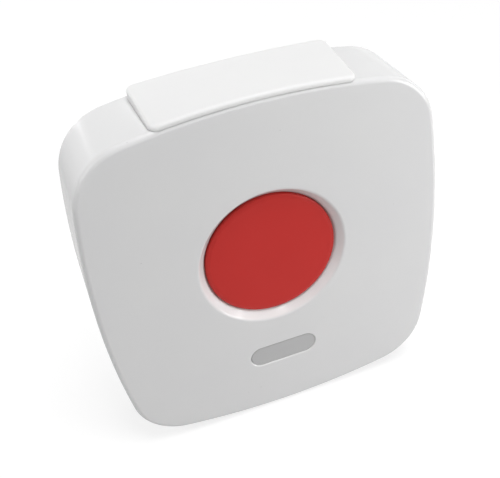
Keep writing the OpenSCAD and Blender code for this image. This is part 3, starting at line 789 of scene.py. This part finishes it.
def makeBarBody():
    middle = -(barLow.y + barHigh.y) / 2
    narrowing = 2 * bar["taper"] / bar["length"]
    low = bar["lowRound"] * mm
    steps = bar["roundSteps"]
    quarter = [math.pi / 2 * step / steps for step in range(steps + 1)]
    rows = bar["rows"]
    shares = [(row / rows) ** bar["rowCrowding"] for row in range(1, rows)]   # closer together at the front edge
    mesh = bmesh.new()

    def loop(inset):  # plan all round: front, left end, rear, right end
        front = barEdge(inset)
        ends = [front[0][1] * (1 - 2 * share) for share in shares]
        whole = front + [(front[-1][0], z) for z in ends]
        return whole + [(x, -z) for x, z in reversed(front)] + [(front[0][0], z) for z in reversed(ends)]

    outer = [Vector(spot) for spot in loop(0)]
    inwards = [(Vector(spot) - start) / mm for spot, start in zip(loop(mm), outer)]

    def ring(rounding, angle, height):  # one step of a rounding whose radius may change along the loop
        verts = []
        for start, inward in zip(outer, inwards):
            radius = rounding(middle + start.y)
            x, z = start + inward * radius * (1 - math.cos(angle))
            z += middle
            x *= 1 - narrowing * towardsFront(z)
            verts.append(mesh.verts.new(stand(x, height(x, z, radius * (1 - math.sin(angle))), z)))
        return verts

    def cover(edgeRing, height):  # grid of faces inside a ring
        half = len(edgeRing) // 2 - len(shares)
        columns = []
        for spot in range(half):
            first, last = edgeRing[spot], edgeRing[2 * half + len(shares) - 1 - spot]
            if spot == 0:
                inner = list(reversed(edgeRing[2 * half + len(shares):]))
            elif spot == half - 1:
                inner = edgeRing[half:half + len(shares)]
            else:
                places = [first.co.lerp(last.co, share) for share in shares]
                inner = [mesh.verts.new(stand(place.x, height(place.x, -place.y), -place.y)) for place in places]
            columns.append([first] + inner + [last])
        for column, after in zip(columns, columns[1:]):
            for row in range(rows):
                mesh.faces.new((column[row], column[row + 1], after[row + 1], after[row]))

    rings = [ring(lambda z: low, angle, lambda x, z, lift: barUnder(x, z) + lift) for angle in reversed(quarter)]
    rings += [ring(barRound, angle, lambda x, z, drop: barTop(x, z) - drop) for angle in quarter]
    bridge(mesh, rings)
    cover(rings[0], barUnder)
    cover(rings[-1], barTop)
    return finishedMesh(mesh, "topBar")


def makeBar():
    middle = -(barLow.y + barHigh.y) / 2
    legs = bar["legs"]
    sizes = {"Leg Spacing": legs["spacing"] * mm, "Catch Top": legs["catchTop"] * mm,
             "Pusher Radius": bar["pusher"] * mm, "Pusher Depth": bar["pusherDepth"] * mm, "Pusher End": barLow.z}
    tree, given, result = newTree("barWithLegs", sizes)
    reach = coverHigh.z + bar["rootDepth"] * mm   # legs and pusher run into the bar
    catchMiddle = calc(tree, "SUBTRACT", given["Catch Top"], legs["catchHeight"] / 2 * mm)
    lowEnd = calc(tree, "SUBTRACT", given["Catch Top"], legs["catchHeight"] * mm)
    outside = (legs["thick"] + legs["catchOut"]) / 2 * mm
    solids = [given["Path"]]
    for side in (1, -1):
        x = calc(tree, "MULTIPLY", given["Leg Spacing"], side / 2)
        height = calc(tree, "SUBTRACT", reach - legs["bowDrop"] * mm, lowEnd)
        leg = block(tree, legs["thick"] * mm, height, legs["width"] * mm)
        solids.append(shift(tree, leg, x, calc(tree, "ADD", lowEnd, calc(tree, "MULTIPLY", height, 0.5)), middle))
        catch = block(tree, legs["catchOut"] * mm, legs["catchHeight"] * mm, legs["width"] * mm)
        solids.append(shift(tree, catch, calc(tree, "ADD", x, side * outside), catchMiddle, middle))
    length = calc(tree, "SUBTRACT", reach, given["Pusher End"])
    pusher = addNode(tree, "GeometryNodeMeshCylinder", {
        "Vertices": bar["pusherSides"], "Radius": given["Pusher Radius"], "Depth": length}).outputs[0]
    pusherMiddle = calc(tree, "ADD", given["Pusher End"], calc(tree, "MULTIPLY", length, 0.5))
    solids.append(shift(tree, pusher, y=pusherMiddle, z=given["Pusher Depth"], turn=(math.pi / 2, 0, 0)))
    lying = [shift(tree, solids[0], turn=(-math.pi / 2, 0, 0))] + solids[1:]
    ending(tree, combine(tree, "UNION", *lying), given["Finish"], result)
    piece = runTree(makeBarBody(), tree, sizes, finishes["bar_white"], "topBar")
    return evenNormals(piece, "bar_white")


topBar = makeBar()
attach(topBar, "bar_key")
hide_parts("top_bar")
print("bar made,", len(topBar.data.polygons), "faces")


# Badge: bare pill with a soft rim
badge = {"rim": 0.2, "rimSteps": 6, "endSteps": 24}


def makeBadge():
    floor, face = -badgeHigh.y, -badgeLow.y
    radius = (badgeHigh.z - badgeLow.z) / 2
    straight = (badgeHigh.x - badgeLow.x) / 2 - radius
    rim = badge["rim"] * mm
    levels = [(0, floor)]
    for step in range(badge["rimSteps"] + 1):
        angle = math.pi / 2 * step / badge["rimSteps"]
        levels.append((rim * (1 - math.cos(angle)), face - rim * (1 - math.sin(angle))))
    mesh = bmesh.new()
    rings = []
    for inset, level in levels:
        ring = []
        for side in (1, -1):
            for step in range(badge["endSteps"] + 1):
                angle = math.pi * (step / badge["endSteps"] - 0.5)
                x = side * (straight + (radius - inset) * math.cos(angle))
                y = badgeHeight + side * (radius - inset) * math.sin(angle)
                ring.append(mesh.verts.new(stand(x, y, level)))
        rings.append(ring)
    bridge(mesh, rings)
    mesh.faces.new(list(reversed(rings[0])))
    mesh.faces.new(rings[-1])
    for face in mesh.faces:
        face.smooth = True
    return evenNormals(finishedMesh(mesh, "badgePlate"), "badge_grey")


badgePlate = makeBadge()
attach(badgePlate, "housing")
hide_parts("badge_plate")
print("badge made")


# Button spring: coil between the board and the cap
spring = {"radius": 11.8, "wire": 0.45, "turns": 4.0, "seat": 6.55, "capGap": 0.05, "travel": 1.5,   # mm
          "turnSteps": 48, "wireSides": 12}


def makeSpring():
    under = -capLow.y - (cap["thickness"] + spring["capGap"]) * mm
    seat = spring["seat"] * mm
    wire = spring["wire"] * mm
    sizes = {"Radius": spring["radius"] * mm, "Wire": wire, "Turns": spring["turns"], "Seat": seat + wire,
             "Length": under - seat - 2 * wire, "Button Height": buttonHeight}
    tree, given, result = newTree("coilSpring", sizes)
    coil = addNode(tree, "GeometryNodeCurveSpiral", {
        "Resolution": spring["turnSteps"], "Rotations": given["Turns"], "Start Radius": given["Radius"],
        "End Radius": given["Radius"], "Height": given["Length"]}).outputs[0]
    section = addNode(tree, "GeometryNodeCurvePrimitiveCircle", {
        "Resolution": spring["wireSides"], "Radius": given["Wire"]}).outputs[0]
    wound = addNode(tree, "GeometryNodeCurveToMesh", {
        "Curve": coil, "Profile Curve": section, "Fill Caps": True}).outputs[0]
    ending(tree, shift(tree, wound, y=given["Button Height"], z=given["Seat"]), given["Finish"], result)
    piece = runTree(noOutline("springSeat"), tree, sizes, finishes["spring_steel"], "buttonSpring")
    return evenNormals(piece, "spring_steel"), seat, under


buttonSpring, springSeat, springTop = makeSpring()
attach(buttonSpring, "housing")
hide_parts("button_spring")
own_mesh(buttonSpring)
print("spring made,", len(buttonSpring.data.polygons), "faces")


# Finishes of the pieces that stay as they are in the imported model
slots = {subpart["node"]: subpart["material_slot"] for subpart in frame["record"]["subparts"]}
for name, node in frame["nodes"].items():
    node.data.materials.clear()
    node.data.materials.append(finishes[slots[name]])
print("finishes given to", len(frame["nodes"]), "nodes")


# Floor and light
studio = {
    "floorDrop": 0.4, "floorSize": 3000, "fade": (150, 600), "fill": 0.122,   # mm, the floor fades to white
    "floor": {"lit": (0.55, 0.0), "mirrored": (0.55, 0.25), "seen": (0.3, 0.75)},   # paleness and glow
    "lamps": {     # place and size in mm, aim is the middle of the object
        "window": {"place": (160, -300, 950), "size": (420, 420), "power": 4.22},
        "overhead": {"place": (100, 60, 1000), "size": (700, 700), "power": 2.92},
        "backdrop": {"place": (-100, 900, 430), "size": (1300, 900), "power": 0.5},
        "left": {"place": (-650, -350, 150), "size": (400, 400), "power": 0.4},
        "leftHigh": {"place": (-700, -150, 480), "size": (500, 500), "power": 1.62},
        "right": {"place": (270, -190, 50), "size": (180, 180), "power": 0.52},
        "rear": {"place": (-60, 700, 60), "size": (500, 300), "power": 1.4},
    },
}


def byRay(tree, lit, mirrored, seen):  # the camera sees white, and so do gloss and glass
    path = addNode(tree, "ShaderNodeLightPath").outputs
    reflected = calc(tree, "MAXIMUM", path["Is Glossy Ray"], path["Is Transmission Ray"])
    other = addNode(tree, "ShaderNodeMixShader", {0: reflected, 1: lit, 2: mirrored}).outputs[0]
    return addNode(tree, "ShaderNodeMixShader", {0: path["Is Camera Ray"], 1: other, 2: seen}).outputs[0]


def makeFloor():
    half = studio["floorSize"] / 2 * mm
    low = cadBox[0].z - studio["floorDrop"] * mm
    data = bpy.data.meshes.new("floor")
    data.from_pydata([(-half, -half, low), (half, -half, low), (half, half, low), (-half, half, low)], [],
                     [(0, 1, 2, 3)])
    floor = bpy.data.objects.new("floor", data)
    scene.collection.objects.link(floor)
    material = bpy.data.materials.new("paleFloor")
    material.use_nodes = True
    tree = material.node_tree
    tree.nodes.remove(tree.nodes["Principled BSDF"])
    place = addNode(tree, "ShaderNodeTexCoord").outputs["Object"]
    away = spread(tree, addNode(tree, "ShaderNodeVectorMath", {0: place}, operation="LENGTH").outputs["Value"],
                  *(distance * mm for distance in studio["fade"]))
    white = addNode(tree, "ShaderNodeEmission", {"Strength": 1.0}).outputs[0]
    ways = {}
    for way, (paleness, strength) in studio["floor"].items():
        matte = addNode(tree, "ShaderNodeBsdfDiffuse", {"Color": (paleness, paleness, paleness, 1)}).outputs[0]
        glow = addNode(tree, "ShaderNodeEmission", {"Strength": strength}).outputs[0]
        ways[way] = addNode(tree, "ShaderNodeAddShader", {0: matte, 1: glow}).outputs[0]
        if way != "lit":
            ways[way] = addNode(tree, "ShaderNodeMixShader", {0: away, 1: ways[way], 2: white}).outputs[0]
    below = addNode(tree, "ShaderNodeNewGeometry").outputs["Backfacing"]
    clear = addNode(tree, "ShaderNodeBsdfTransparent").outputs[0]   # nothing in the way of a look from below
    feed(tree, tree.nodes["Material Output"].inputs["Surface"], addNode(tree, "ShaderNodeMixShader", {
        0: below, 1: byRay(tree, ways["lit"], ways["mirrored"], ways["seen"]), 2: clear}).outputs[0])
    data.materials.append(material)


def makeLight():
    world = bpy.data.worlds.new("studio")
    scene.world = world
    world.use_nodes = True
    tree = world.node_tree
    fill = addNode(tree, "ShaderNodeBackground", {"Color": (1, 1, 1, 1), "Strength": studio["fill"]}).outputs[0]
    white = addNode(tree, "ShaderNodeBackground", {"Color": (1, 1, 1, 1), "Strength": 1.0}).outputs[0]
    feed(tree, tree.nodes["World Output"].inputs["Surface"], byRay(tree, fill, white, white))
    for name, lamp in studio["lamps"].items():
        light = bpy.data.lights.new(name, "AREA")
        light.shape = "RECTANGLE"
        light.size, light.size_y = (side * mm for side in lamp["size"])
        light.energy = lamp["power"]
        place = bpy.data.objects.new(name, light)
        place.location = Vector(lamp["place"]) * mm
        place.rotation_mode = "QUATERNION"
        place.rotation_quaternion = (-place.location).to_track_quat("-Z", "Y")
        scene.collection.objects.link(place)


makeFloor()
makeLight()
print("floor and light made")
